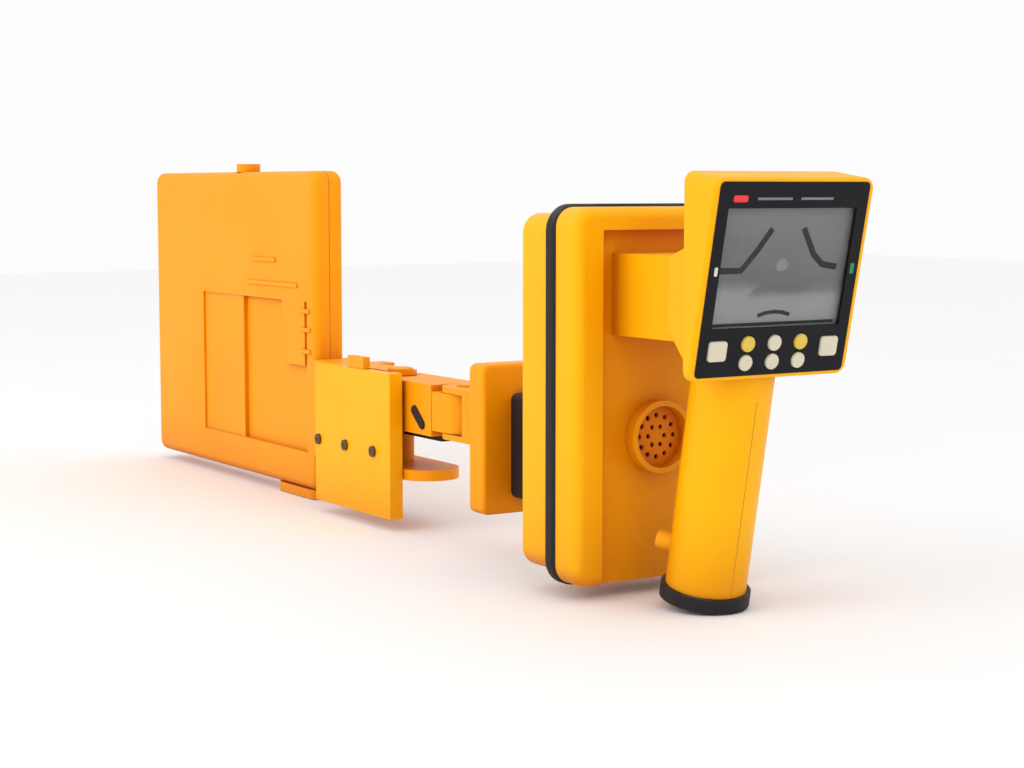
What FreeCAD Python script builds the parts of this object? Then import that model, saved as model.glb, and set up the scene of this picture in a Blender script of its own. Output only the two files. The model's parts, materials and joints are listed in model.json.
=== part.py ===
"""Folding hand-held locator receiver: antenna paddle, two-pin fold link, housing, grip and display head.

+X runs along the tool from the paddle's far edge to the display, +Y is the side the paddle folds to,
+Z is up, and the floor is Z = 0. The origin is on the floor under the middle of the open tool.
"""
import FreeCAD, Part
import math
import os
import re
import Sketcher

Vector = FreeCAD.Vector
os.makedirs("parts", exist_ok=True)
doc = FreeCAD.newDocument("LocatorReceiver")

# ---------------------------------------------------------------- driving dimensions (mm, degrees)
sizes = {
    # antenna paddle
    "standHeight": 6.5, "paddleEnd": 290.5, "antennaLength": 290.5, "antennaHeight": 228, "antennaHalf": 12,
    "antennaCorner": 9, "antennaRim": 6, "paddleWall": 2.2, "shellWall": 3,
    "panelStart": 96, "panelLength": 182, "panelBase": 27, "panelHeight": 108, "panelDepth": 1.5,
    "pocketStart": 168, "pocketLength": 106, "pocketDepth": 3,
    "blockStart": 238, "blockLength": 36, "blockHeight": 46,
    "capRadius": 9, "capHeight": 6, "capAt": 157,
    "footStart": 222, "footLength": 64, "footHalf": 11,
    # fold link and its clevises
    "antennaPin": 393, "foldGap": 19.5, "pinRadius": 5, "bushWall": 1.5, "runFit": 0.04,
    "linkHalf": 18, "linkBase": 65, "linkHeight": 33, "tongueHeight": 25, "sideGap": 0.4,
    "discRadius": 20, "discBase": 33.5, "discThick": 7, "topRadius": 11, "topThick": 3,
    "yokeNeckHalf": 14, "yokeWall": 16, "yokeRib": 3, "floorReach": 37, "railThick": 8, "railRise": 7,
    "cheekHalf": 23.6, "pinHeadRadius": 7.5, "pinHeadThick": 1, "bootRadius": 9,
    "plateStart": 326, "plateEnd": 432.3, "plateBase": 7.8, "plateHeight": 95.3,
    "plateThick": 6.4, "lipThick": 9.3, "lipLength": 9.5,
    "plateScrewFirst": 331, "plateScrewPitch": 39.2, "plateScrewLift": 42.5, "screwRadius": 2,
    "screwHead": 3.6, "screwHeadThick": 1.6,
    "releaseAt": 384, "releaseLength": 22, "releaseWidth": 5, "releaseProud": 8, "releaseTravel": 2.5,
    "releaseDepth": 9, "slideGap": 0.3,
    # housing-side bracket and neck
    "bracketStart": 527.5, "bracketThick": 15.4, "bracketHalf": 27, "bracketBase": 25.5,
    "bracketHeight": 91.4, "bracketCorner": 5, "neckHalf": 4.8, "neckBase": 37.3, "neckHeight": 59.3,
    "sleeveWall": 2.4,
    # housing
    "rearStart": 630, "rearDepth": 30.5, "rearHalf": 55.8, "rearBase": 12.6, "rearHeight": 196,
    "housingCorner": 11, "housingRim": 6, "rearRim": 3,
    "sealDepth": 7.5, "sealHalf": 59.4, "sealHeight": 207.3, "sealWidth": 9, "sealRound": 2.5,
    "frontDepth": 19.3, "frontInset": 1.6,
    "troughFloor": 8.5, "troughHalf": 34, "troughMouth": 41, "troughTop": 200,
    "wellRadius": 20, "wellHeight": 87, "wellWall": 3, "speakerDepth": 9,
    "grilleThick": 2, "grilleHole": 1.4, "grilleInner": 5.5, "grilleOuter": 11.5,
    "housingBoss": 11, "loopInset": 3.5, "upperRodLength": 70, "upperRodHeight": 180,
    # neck block and display head
    "blockHalf": 29, "blockBase": 143.5, "blockTop": 187.5, "headRearStart": 742.5,
    "headRearHalf": 40, "headRearFold": 150.5, "headRearChin": 20, "headBase": 127.5,
    "headBack": 771.8, "headShoulder": 8, "faceX": 775.8, "faceZ": 126.5, "faceTilt": 11.9,
    "faceLength": 102.9, "faceHalf": 51.2, "faceCorner": 6,
    "headTopRise": 3.5, "bezelMargin": 3.4, "bezelRise": 2, "bezelThick": 3, "bezelProud": 0.3, "headWall": 6,
    "headShell": 2.5, "windowHalf": 41.2, "windowBase": 26.6, "windowHeight": 61.1,
    "lensThick": 1.4, "displayThick": 6, "displayBorder": 2.5, "boardThick": 1.6,
    "keyRadius": 4.1, "keyPitchY": 17, "keyRowLow": 8.8, "keyRowHigh": 18.6, "keyGap": 0.35,
    "keyProud": 1.6, "keyTravel": 1, "keySkirt": 4, "sideKeyAt": 36, "sideKeyHalf": 5.6,
    "sideKeyTall": 5.2, "sideKeyRow": 15.5, "keyRound": 0.8, "keyCorner": 1.8, "matThick": 1.6,
    # grip
    "gripX": 724.6, "gripLean": 10.6, "gripRadius": 21.6, "gripWall": 2.6, "gripLength": 136,
    "endCapRadius": 24.1, "endCapThick": 7.5, "endCapPlug": 6, "plugGap": 0.3,
    "cellRadius": 7.2, "cellLength": 50, "cageWall": 1.2, "cellGap": 0.2, "contactThick": 1,
    "studRadius": 5.5, "studProud": 8, "studLift": 26, "studTurn": 30,
    # inside the paddle and the housing
    "coilBar": 6, "coilInset": 5, "rodRadius": 5, "rodLength": 150, "windingRadius": 8,
    "windingLength": 60, "bossGap": 0.2, "bossRadius": 5, "bossInset": 20, "screwBite": 8,
    "paddleRodAt": 60,
}
sheet = doc.addObject("Spreadsheet::Sheet", "Sizes")
for row, (alias, value) in enumerate(sizes.items(), start=1):
    sheet.set(f"A{row}", alias)
    sheet.set(f"B{row}", str(value))
    sheet.setAlias(f"B{row}", alias)
doc.recompute()

functions = ("sin", "cos", "tan", "max", "min", "deg")


def bound(text):
    """Point every size name in an expression at its cell."""
    return re.sub(r"[A-Za-z]+", lambda word: word[0] if word[0] in functions else f"Sizes.{word[0]}", text)


# ---------------------------------------------------------------- derived places, as expressions
headReach = "faceX + faceLength * sin(faceTilt * 1 deg)"
paddleFar = "(paddleEnd - antennaLength)"
originX = f"(({headReach} + {paddleFar}) / 2)"
housingPin = "(antennaPin + sealHalf + antennaHalf + foldGap)"
sealStart = "(rearStart + rearDepth)"
frontStart = f"({sealStart} + sealDepth)"
frontFace = f"({frontStart} + frontDepth)"
troughX = f"({frontFace} - troughFloor)"
linkTop = "(linkBase + linkHeight)"
linkMiddle = "(linkBase + linkHeight / 2)"
bracketBack = "(bracketStart + bracketThick)"


def along(text):
    """X of a place on the tool, seen from the origin."""
    return f"({text}) - {originX}"


# ---------------------------------------------------------------- shapes
def place(item, x="0", y="0", z="0"):
    for axis, value in zip("xyz", (x, y, z)):
        item.setExpression(f"Placement.Base.{axis}", bound(value))
    return item


def box(name, x, y, z, local=False):
    item = doc.addObject("Part::Box", name)
    for size, (low, high) in zip(("Length", "Width", "Height"), (x, y, z)):
        item.setExpression(size, bound(f"({high}) - ({low})"))
    return place(item, x[0] if local else along(x[0]), y[0], z[0])


turns = {"X": FreeCAD.Rotation(Vector(0, 1, 0), 90), "Y": FreeCAD.Rotation(Vector(1, 0, 0), -90),
         "Z": FreeCAD.Rotation()}


def rod(name, radius, length, x, y, z, axis="Z", local=False):
    item = doc.addObject("Part::Cylinder", name)
    item.setExpression("Radius", bound(radius))
    item.setExpression("Height", bound(length))
    item.Placement.Rotation = turns[axis]
    return place(item, x if local else along(x), y, z)


def fuse(name, *items):
    item = doc.addObject("Part::MultiFuse", name)
    item.Shapes = list(items)
    return item


def cut(name, base, *tools):
    item = doc.addObject("Part::Cut", name)
    item.Base = base
    item.Tool = tools[0] if len(tools) == 1 else fuse(name + "Tools", *tools)
    return item


def addSketch(body, name, role, offset):
    sketch = body.newObject("Sketcher::SketchObject", name)
    origin = next(item for item in body.Origin.OriginFeatures if item.Role == role)
    sketch.AttachmentSupport = [(origin, "")]
    sketch.MapMode = "FlatFace"
    sketch.setExpression("AttachmentOffset.Base.z", bound(offset))
    return sketch


def outline(sketch, points):
    """A closed outline whose corners are bound to the sheet."""
    count = len(points)
    start = len(sketch.Geometry)
    rough = [Vector(math.cos(2 * math.pi * i / count), math.sin(2 * math.pi * i / count), 0)
             for i in range(count)]
    for i in range(count):
        sketch.addGeometry(Part.LineSegment(rough[i], rough[(i + 1) % count]), False)
    for i in range(count):
        after = start + (i + 1) % count
        sketch.addConstraint(Sketcher.Constraint("Coincident", start + i, 2, after, 1))
    for i, corner in enumerate(points):
        for kind, value in zip(("DistanceX", "DistanceY"), corner):
            index = sketch.addConstraint(Sketcher.Constraint(kind, -1, 1, start + i, 1, 1.0))
            sketch.renameConstraint(index, f"{kind[-1].lower()}{start + i}")
            sketch.setExpression(f"Constraints.{kind[-1].lower()}{start + i}", bound(value))


def pad(body, sketch, length, reversed=False, symmetric=False):
    item = body.newObject("PartDesign::Pad", sketch.Name + "Pad")
    item.Profile = sketch
    item.setExpression("Length", bound(length))
    item.Reversed = reversed
    if symmetric:
        item.SideType = "Symmetric"
    return item


def roundEdges(body, base, name, radius, test):
    doc.recompute()
    names = [f"Edge{i}" for i, edge in enumerate(base.Shape.Edges, start=1) if test(edge)]
    item = body.newObject("PartDesign::Fillet", name)
    item.Base = (base, names)
    item.setExpression("Radius", bound(radius))
    body.Tip = item
    return item


def straight(direction):
    return lambda edge: (edge.Curve.TypeId == "Part::GeomLine"
                         and abs(abs(edge.Curve.Direction.dot(direction)) - 1) < 1e-6)


def slab(name, role, u, v, offset, depth, corner, rim=None, reversed=False):
    """A plate with round corners, standing on an origin plane, and one rounded face rim."""
    body = doc.addObject("PartDesign::Body", name)
    sketch = addSketch(body, name + "Outline", role, offset)
    outline(sketch, [(u[0], v[0]), (u[1], v[0]), (u[1], v[1]), (u[0], v[1])])
    item = pad(body, sketch, depth, reversed)
    normal = Vector(1, 0, 0) if role == "YZ_Plane" else Vector(0, 1, 0)
    if role == "XY_Plane":
        normal = Vector(0, 0, 1)
    item = roundEdges(body, item, name + "Corners", corner, straight(normal))
    if rim:
        doc.recompute()
        heights = [vertex.Point.dot(normal) for vertex in item.Shape.Vertexes]
        upward = (role != "XZ_Plane") != reversed
        face = max(heights) if upward else min(heights)
        roundEdges(body, item, name + "Rim", rim,
                   lambda edge: all(abs(p.Point.dot(normal) - face) < 1e-4 for p in edge.Vertexes))
    return body


def prism(name, points, half):
    """An XZ outline, as thick as twice half, across Y = 0."""
    body = doc.addObject("PartDesign::Body", name)
    sketch = addSketch(body, name + "Outline", "XZ_Plane", "0")
    outline(sketch, points)
    pad(body, sketch, f"2 * ({half})", symmetric=True)
    return body


def screws(name, points, length, axis, headAfter=False):
    """A group of screws along an axis, with the heads before the shanks or after them."""
    pieces = []
    step = f"+ ({length})" if headAfter else "- screwHeadThick"
    for i, (x, y, z) in enumerate(points):
        shank = rod(f"{name}Shank{i}", "screwRadius", length, x, y, z, axis)
        shift = {"X": (f"({x}) {step}", y, z), "Y": (x, f"({y}) {step}", z)}[axis]
        head = rod(f"{name}Head{i}", "screwHead", "screwHeadThick", *shift, axis)
        pieces.append(fuse(f"{name}{i}", shank, head))
    group = doc.addObject("Part::Compound", name)
    group.Links = pieces
    return group


def rods(name, radius, points, length, axis):
    """The same rod at each point: bosses, screw holes or threads."""
    return [rod(f"{name}{i}", radius, length, *point, axis) for i, point in enumerate(points)]


nodes = {}


def node(label, item):
    item.Label = label
    nodes[label] = item
    return item


# ---------------------------------------------------------------- antenna paddle
antennaTop = "(standHeight + antennaHeight)"
panelFloor = "(panelDepth + pocketDepth)"
bossPoints = [(x, z) for x in (f"{paddleFar} + bossInset", "paddleEnd - bossInset")
              for z in ("standHeight + bossInset", f"{antennaTop} - bossInset")]


def paddleShell(name, far):
    side = "far" if far else "near"
    outer = slab(f"{side}PaddleOuter", "XZ_Plane", (along(paddleFar), along("paddleEnd")),
                 ("standHeight", antennaTop), "0", "antennaHalf", "antennaCorner", "antennaRim", far)
    inner = slab(f"{side}PaddleInner", "XZ_Plane",
                 (along(f"{paddleFar} + paddleWall"), along("paddleEnd - paddleWall")),
                 ("standHeight + paddleWall", f"{antennaTop} - paddleWall"), "0",
                 "antennaHalf - paddleWall", "antennaCorner - paddleWall", None, far)
    hollow = cut(f"{side}PaddleTray", outer, inner)
    y = ("antennaHalf - {0} - paddleWall", "antennaHalf - paddleWall + 1")
    if not far:
        y = ("-antennaHalf + paddleWall - 1", "-antennaHalf + {0} + paddleWall")
    floor = [box(f"{side}{title}Floor", (f"{start} - paddleWall", f"{start} + {size} + paddleWall"),
                 tuple(text.format(depth) for text in y),
                 ("standHeight + panelBase - paddleWall",
                  "standHeight + panelBase + panelHeight + paddleWall"))
             for title, start, size, depth in (("Panel", "panelStart", "panelLength", "panelDepth"),
                                               ("Pocket", "pocketStart", "pocketLength", panelFloor))]
    raised = fuse(f"{side}PaddleRaised", hollow, *floor)
    y = ("antennaHalf - {0}", "antennaHalf + 2")
    if not far:
        y = ("-antennaHalf - 2", "-antennaHalf + {0}")
    recess = [box(f"{side}{title}Recess", (start, f"{start} + {size}"),
                  tuple(text.format(depth) for text in y),
                  ("standHeight + panelBase", "standHeight + panelBase + panelHeight"))
              for title, start, size, depth in (("Panel", "panelStart", "panelLength", "panelDepth"),
                                                ("Pocket", "pocketStart", "pocketLength", panelFloor))]
    sunk = cut(f"{side}PaddleSunk", raised, *recess)
    y = ("antennaHalf - {0}".format(panelFloor), "antennaHalf")
    if not far:
        y = ("-antennaHalf", "-antennaHalf + {0}".format(panelFloor))
    reach = "antennaHalf - paddleWall"
    boss = rods(f"{side}Boss", "bossRadius",
                [(x, "0" if far else f"-({reach})", z) for x, z in bossPoints], reach, "Y")
    thread = "screwRadius + bossGap" if far else "screwRadius"
    holes = rods(f"{side}BossHole", thread,
                 [(x, "0" if far else "-screwBite", z) for x, z in bossPoints],
                 "antennaHalf + 1" if far else "screwBite", "Y")
    lump = box(f"{side}Lump", ("blockStart", "blockStart + blockLength"), y,
               ("standHeight + panelBase + panelHeight - blockHeight",
                "standHeight + panelBase + panelHeight"))
    return node(name, cut(f"{side}PaddleShell", fuse(f"{side}PaddleFilled", sunk, lump, *boss), *holes))


paddleShell("paddle_near_shell", far=False)
paddleShell("paddle_far_shell", far=True)

node("paddle_screws", screws("PaddleScrews", [(x, "-screwBite", z) for x, z in bossPoints],
                             "antennaHalf + screwBite", "Y", headAfter=True))

# the bump on the paddle's top edge is a moulded plug over the level window
plug = rod("PlugBoss", "capRadius", "capHeight", "capAt", "0", antennaTop)
node("paddle_top_plug", plug)

foot = slab("PaddleFoot", "XY_Plane", (along("footStart"), along("footStart + footLength")),
            ("-footHalf", "footHalf"), "0", "standHeight", "antennaCorner")
node("paddle_foot", foot)


def ring(name, x, y, z, bar):
    """A rectangular winding lying in the XZ plane."""
    outer = box(name + "Outer", x, y, z)
    inner = box(name + "Inner", tuple(f"({text}) {sign} ({bar})" for text, sign in zip(x, "+-")),
                (f"({y[0]}) - 1", f"({y[1]}) + 1"),
                tuple(f"({text}) {sign} ({bar})" for text, sign in zip(z, "+-")))
    return cut(name, outer, inner)


node("paddle_loop_coil", ring("PaddleLoop", (f"{paddleFar} + coilInset", "paddleEnd - coilInset"),
                              ("-coilBar", "coilBar"),
                              ("standHeight + coilInset", f"{antennaTop} - coilInset"), "coilBar"))
paddleRodX = f"{paddleFar} + paddleRodAt"
rodBase = "standHeight + antennaHeight / 2 - rodLength / 2"
node("paddle_ferrite_rod", rod("PaddleRod", "rodRadius", "rodLength", paddleRodX, "0", rodBase))
winding = "standHeight + antennaHeight / 2 - windingLength / 2"
node("paddle_rod_coil", cut("PaddleCoil",
                            rod("PaddleCoilOut", "windingRadius", "windingLength", paddleRodX,
                                "0", winding),
                            rod("PaddleCoilIn", "rodRadius", "windingLength", paddleRodX,
                                "0", winding)))
node("paddle_board", box("PaddleBoard", ("pocketStart", "pocketStart + pocketLength"),
                         ("-boardThick / 2", "boardThick / 2"),
                         ("standHeight + panelBase", "standHeight + panelBase + panelHeight")))

# ---------------------------------------------------------------- fold link and its clevises
discTop = "(discBase + discThick)"
topBase = f"({linkTop} + sideGap)"
yokeEnd = "(plateStart + yokeWall)"
yokeTop = f"({topBase} + topThick)"


def eye(name, x, radius, base, height):
    return rod(name, radius, height, x, "0", base)


def arm(name, start, end, half, base, height):
    return box(name, (start, end), (f"-({half})", half), (base, f"({base}) + ({height})"))


def yokePocket(name, low, high):
    """A core-out of the yoke's neck, open on the far side."""
    return box(name, ("paddleEnd + yokeRib", "plateStart - yokeRib"),
               ("-yokeNeckHalf + yokeRib", "yokeNeckHalf + 1"), (low, high))


plateFace = "(-cheekHalf - plateThick)"
plateBack = "-cheekHalf"
plateTop = "(plateBase + plateHeight)"
screwLine = "(plateBase + plateScrewLift)"
floorEnd = "(antennaPin + floorReach)"
yokeMiddle = f"(({discTop} + {topBase}) / 2)"
yokeSolid = fuse("YokeSolid",
                 arm("YokeNeck", "paddleEnd", "plateStart", "yokeNeckHalf", "discBase",
                     f"{yokeTop} - discBase"),
                 arm("YokeBack", "plateStart", yokeEnd, "cheekHalf", "discBase", f"{yokeTop} - discBase"),
                 arm("YokeFloor", yokeEnd, floorEnd, "discRadius", "discBase", "discThick"),
                 eye("YokeDisc", floorEnd, "discRadius", "discBase", "discThick"),
                 box("YokeRail", (yokeEnd, "plateEnd - lipLength - sideGap"),
                     (plateBack, f"{plateBack} + railThick"), ("discBase", f"{screwLine} + railRise")),
                 arm("YokeRoof", yokeEnd, "antennaPin", "topRadius", topBase, "topThick"),
                 eye("YokeEye", "antennaPin", "topRadius", topBase, "topThick"))
screwPoints = [(f"plateScrewFirst + {i} * plateScrewPitch", plateFace, screwLine) for i in range(3)]
node("hinge_yoke", cut("Yoke", yokeSolid,
                       eye("YokeBore", "antennaPin", "pinRadius", "0", antennaTop),
                       yokePocket("YokePocketLow", "discBase + yokeRib", f"{yokeMiddle} - yokeRib / 2"),
                       yokePocket("YokePocketHigh", f"{yokeMiddle} + yokeRib / 2",
                                  f"{yokeTop} - yokeRib"),
                       *rods("YokeThread", "screwRadius", screwPoints, "plateThick + railThick - 1",
                             "Y")))


def pin(label, name, x, low, high):
    node(label, fuse(name, eye(name + "Shank", x, "pinRadius", low, f"({high}) - ({low})"),
                     eye(name + "Head", x, "pinHeadRadius", high, "pinHeadThick")))


pin("antenna_hinge_pin", "AntennaPin", "antennaPin", "discBase", yokeTop)
pin("housing_hinge_pin", "HousingPin", housingPin, "linkBase", linkTop)

bushRadius = "(pinRadius + bushWall)"
bushBore = "(pinRadius + runFit)"
tongueBase = f"({linkMiddle} - tongueHeight / 2)"
forkStop = f"({housingPin} - linkHalf - 1)"
linkBody = fuse("LinkSolid",
                eye("LinkEye", "antennaPin", "linkHalf", "linkBase", "linkHeight"),
                arm("LinkArm", "antennaPin", forkStop, "linkHalf", "linkBase", "linkHeight"),
                arm("LinkTongue", forkStop, housingPin, "linkHalf - sideGap", tongueBase, "tongueHeight"),
                eye("LinkTongueEye", housingPin, "linkHalf - sideGap", tongueBase, "tongueHeight"))
node("fold_link", cut("Link", linkBody,
                      eye("LinkBoreA", "antennaPin", bushRadius, "0", antennaTop),
                      eye("LinkBoreB", housingPin, bushRadius, "0", antennaTop)))


def bush(label, name, x, base, height):
    node(label, cut(name, eye(name + "Out", x, bushRadius, base, height),
                    eye(name + "In", x, bushBore, f"({base}) - 1", f"({height}) + 2")))


bush("antenna_pin_bush", "AntennaBush", "antennaPin", "linkBase", "linkHeight")
bush("housing_pin_bush", "HousingBush", housingPin, tongueBase, "tongueHeight")
node("pin_boot", cut("PinBoot",
                     eye("PinBootOut", "antennaPin", "bootRadius", discTop,
                         f"linkBase - sideGap - {discTop}"),
                     eye("PinBootIn", "antennaPin", "pinRadius", "0", antennaTop)))
# the rubber buffer under the arm keeps the folded link off the lower disc
node("link_buffer", box("LinkBuffer", ("antennaPin + linkHalf + 2", f"{forkStop} - 2"),
                        ("-linkHalf / 2", "linkHalf / 2"), ("linkBase - 4", "linkBase")))

# ---------------------------------------------------------------- cheek plate and release button
plateSolid = fuse("PlateSolid",
                  box("PlateSheet", ("plateStart", "plateEnd"), (plateFace, plateBack),
                      ("plateBase", plateTop)),
                  box("PlateLip", ("plateEnd - lipLength", "plateEnd"),
                      (plateFace, f"{plateFace} + lipThick"), ("plateBase", plateTop)))
slot = box("ReleaseSlot", ("releaseAt - releaseLength / 2 - slideGap",
                           "releaseAt + releaseLength / 2 + slideGap"),
           (f"{plateFace} + (plateThick - releaseWidth) / 2 - slideGap",
            f"{plateFace} + (plateThick + releaseWidth) / 2 + slideGap"),
           (f"{plateTop} - releaseDepth - releaseTravel - slideGap", f"{plateTop} + 1"))
node("cheek_plate", cut("CheekPlate", plateSolid, slot,
                        *rods("PlateHole", "screwRadius + bossGap",
                              [(x, f"{plateFace} - 1", z) for x, y, z in screwPoints],
                              "plateThick + 2", "Y")))
node("cheek_plate_screws", screws("PlateScrews", screwPoints, "plateThick + railThick - 1", "Y"))
node("release_button", box("ReleaseButton",
                           ("releaseAt - releaseLength / 2", "releaseAt + releaseLength / 2"),
                           (f"{plateFace} + (plateThick - releaseWidth) / 2",
                            f"{plateFace} + (plateThick + releaseWidth) / 2"),
                           (f"{plateTop} - releaseDepth", f"{plateTop} + releaseProud")))

# ---------------------------------------------------------------- bracket and neck of the housing
lugBore = eye("LugBore", housingPin, "pinRadius", "0", antennaTop)
lugGap = box("LugGap", (f"{housingPin} - linkHalf - 1", f"{housingPin} + linkHalf + 1"),
             ("-linkHalf - 1", "linkHalf + 1"),
             (f"{tongueBase} - sideGap", f"{tongueBase} + tongueHeight + sideGap"))
lugs = fuse("Lugs", arm("LugArm", housingPin, "bracketStart", "linkHalf", "linkBase", "linkHeight"),
            eye("LugEye", housingPin, "linkHalf", "linkBase", "linkHeight"))
flange = slab("Flange", "YZ_Plane", ("-bracketHalf", "bracketHalf"),
              ("bracketBase", "bracketBase + bracketHeight"), along("bracketStart"), "bracketThick",
              "bracketCorner", "bracketCorner / 2")
core = box("NeckCore", (bracketBack, "rearStart + shellWall"), ("-neckHalf", "neckHalf"),
           ("neckBase", "neckBase + neckHeight"))
node("hinge_bracket", cut("Bracket", fuse("BracketSolid", lugs, flange, core), lugGap, lugBore))
sleeveOut = slab("SleeveOut", "YZ_Plane", ("-neckHalf - sleeveWall", "neckHalf + sleeveWall"),
                 ("neckBase - sleeveWall", "neckBase + neckHeight + sleeveWall"), along(bracketBack),
                 f"rearStart - {bracketBack}", "neckHalf")
node("neck_sleeve", cut("Sleeve", sleeveOut,
                        box("SleeveIn", (f"{bracketBack} - 1", "rearStart + 1"),
                            ("-neckHalf", "neckHalf"), ("neckBase", "neckBase + neckHeight"))))

# ---------------------------------------------------------------- housing
rearTop = "(rearBase + rearHeight)"
wallX = "(rearStart + shellWall)"
rearOuter = slab("RearOuter", "YZ_Plane", ("-rearHalf", "rearHalf"), ("rearBase", rearTop),
                 along(sealStart), "rearDepth", "housingCorner", "rearRim", reversed=True)
rearInner = slab("RearInner", "YZ_Plane", ("-rearHalf + shellWall", "rearHalf - shellWall"),
                 ("rearBase + shellWall", f"{rearTop} - shellWall"), along(wallX),
                 "rearDepth - shellWall", "housingCorner - shellWall")
neckHole = box("NeckHole", ("rearStart - 1", f"{wallX} + 1"), ("-neckHalf", "neckHalf"),
               ("neckBase", "neckBase + neckHeight"))
rearPoints = [(wallX, f"{side} * (rearHalf - housingBoss)", z) for side in (-1, 1)
              for z in ("rearBase + housingBoss", f"{rearTop} - housingBoss")]
rearScrewPoints = [("rearStart", y, z) for x, y, z in rearPoints]
rearBosses = rods("RearBoss", "bossRadius", rearPoints, "rearDepth - shellWall", "X")
rearFilled = fuse("RearFilled", cut("RearTray", rearOuter, rearInner), *rearBosses)
node("housing_rear_shell", cut("RearShell", rearFilled, neckHole,
                               *rods("RearHole", "screwRadius + bossGap",
                                     [("rearStart - 1", y, z) for x, y, z in rearPoints],
                                     "rearDepth + 2", "X")))
node("housing_screws", screws("HousingScrews", rearScrewPoints, "rearDepth", "X"))
node("neck_clamp_plate", box("NeckClamp", (wallX, f"{wallX} + 3"), ("-rearHalf / 2", "rearHalf / 2"),
                             ("neckBase - 8", "neckBase + neckHeight + 8")))

sealTop = "(standHeight + sealHeight)"
sealOut = slab("SealOut", "YZ_Plane", ("-sealHalf", "sealHalf"), ("standHeight", sealTop),
               along(sealStart), "sealDepth", "housingCorner + sealHalf - rearHalf", "sealRound")
sealIn = slab("SealIn", "YZ_Plane", ("-sealHalf + sealWidth", "sealHalf - sealWidth"),
              ("standHeight + sealWidth", f"{sealTop} - sealWidth"), along(sealStart), "sealDepth",
              "housingCorner - shellWall")
node("housing_seal", cut("Seal", sealOut, sealIn))

frontHalf = "(sealHalf - frontInset)"
frontBase = "(standHeight + frontInset)"
frontTop = f"({sealTop} - frontInset)"
frontOuter = slab("FrontOuter", "YZ_Plane", (f"-{frontHalf}", frontHalf), (frontBase, frontTop),
                  along(frontStart), "frontDepth", "housingCorner", "housingRim")
frontInner = slab("FrontInner", "YZ_Plane",
                  (f"-{frontHalf} + shellWall * 2", f"{frontHalf} - shellWall * 2"),
                  (f"{frontBase} + shellWall * 2", f"{frontTop} - shellWall * 2"),
                  along(frontStart), "frontDepth - troughFloor - shellWall", "housingCorner - shellWall")
trough = doc.addObject("PartDesign::Body", "Trough")
troughSketch = addSketch(trough, "TroughOutline", "XY_Plane", "0")
outline(troughSketch, [(along(troughX), "-troughHalf"), (along(f"{frontFace} + 1"), "-troughMouth"),
                       (along(f"{frontFace} + 1"), "troughMouth"), (along(troughX), "troughHalf")])
pad(trough, troughSketch, "troughTop")
wellRing = rod("WellRing", "wellRadius", "troughFloor", troughX, "0", "wellHeight", "X")
wellHole = rod("WellHole", "wellRadius - wellWall", "frontDepth + 2", f"{frontStart} - 1", "0",
               "wellHeight", "X")
sunk = cut("FrontSunk", frontOuter, frontInner, trough)

gripZ = "(endCapRadius * sin(gripLean * 1 deg))"
faceTopZ = "(faceZ + faceLength * cos(faceTilt * 1 deg))"
headTop = f"({faceTopZ} - 1)"


def gripPoint(up, out="0"):
    """X and Z of a place up the leaning grip and out in front of its axis."""
    return (f"gripX + ({up}) * sin(gripLean * 1 deg) + ({out}) * cos(gripLean * 1 deg)",
            f"{gripZ} + ({up}) * cos(gripLean * 1 deg) - ({out}) * sin(gripLean * 1 deg)")


def facePoint(out, up):
    """X and Z of a place out from the display face and up along it."""
    return (f"faceX + ({out}) * cos(faceTilt * 1 deg) + ({up}) * sin(faceTilt * 1 deg)",
            f"faceZ - ({out}) * sin(faceTilt * 1 deg) + ({up}) * cos(faceTilt * 1 deg)")


def turnAboutY(item, angle):
    item.Placement.Rotation = FreeCAD.Rotation(Vector(0, 1, 0), 1)
    item.setExpression("Placement.Rotation.Angle", bound(angle))
    return item


def gripRod(name, radius, start, length, out="0", aside="0"):
    x, z = gripPoint(start, out)
    return turnAboutY(rod(name, radius, length, x, aside, z), "gripLean")


def faceRod(name, radius, out, length, y, up):
    x, z = facePoint(out, up)
    return turnAboutY(rod(name, radius, length, x, y, z), "faceTilt + 90")


def faceBox(name, out, y, up):
    item = box(name, out, y, up)
    x, z = facePoint(out[0], up[0])
    return turnAboutY(place(item, along(x), y[0], z), "faceTilt")


def faceSlab(name, out, depth, y, up, corner, rim=None):
    body = slab(name, "YZ_Plane", y, up, out, depth, corner, rim)
    return turnAboutY(place(body, along("faceX"), "0", "faceZ"), "faceTilt")


neckBlock = box("NeckBlock", (troughX, "headRearStart"), ("-blockHalf", "blockHalf"),
                ("blockBase", "blockTop"))
neckDuct = box("NeckDuct", (f"{frontStart} - 1", "headRearStart + headShell + 1"),
               ("-blockHalf + shellWall", "blockHalf - shellWall"),
               ("blockBase + shellWall", "blockTop - shellWall"))
node("housing_front_shell", cut("FrontShell", fuse("FrontSolid", sunk, wellRing, neckBlock),
                                wellHole, neckDuct))

# ---------------------------------------------------------------- inside the housing
grille = doc.addObject("PartDesign::Body", "SpeakerGrille")


def circleSketch(body, name, offset, radius, y="0", z="0"):
    sketch = addSketch(body, name, "YZ_Plane", offset)
    sketch.addGeometry(Part.Circle(Vector(1, 1, 0), Vector(0, 0, 1), 3), False)
    for label, kind, value in (("across", "DistanceX", y), ("up", "DistanceY", z)):
        index = sketch.addConstraint(Sketcher.Constraint(kind, -1, 1, 0, 3, 1.0))
        sketch.renameConstraint(index, label)
        sketch.setExpression(f"Constraints.{label}", bound(value))
    index = sketch.addConstraint(Sketcher.Constraint("Radius", 0, 3.0))
    sketch.renameConstraint(index, "radius")
    sketch.setExpression("Constraints.radius", bound(radius))
    return sketch


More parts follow.
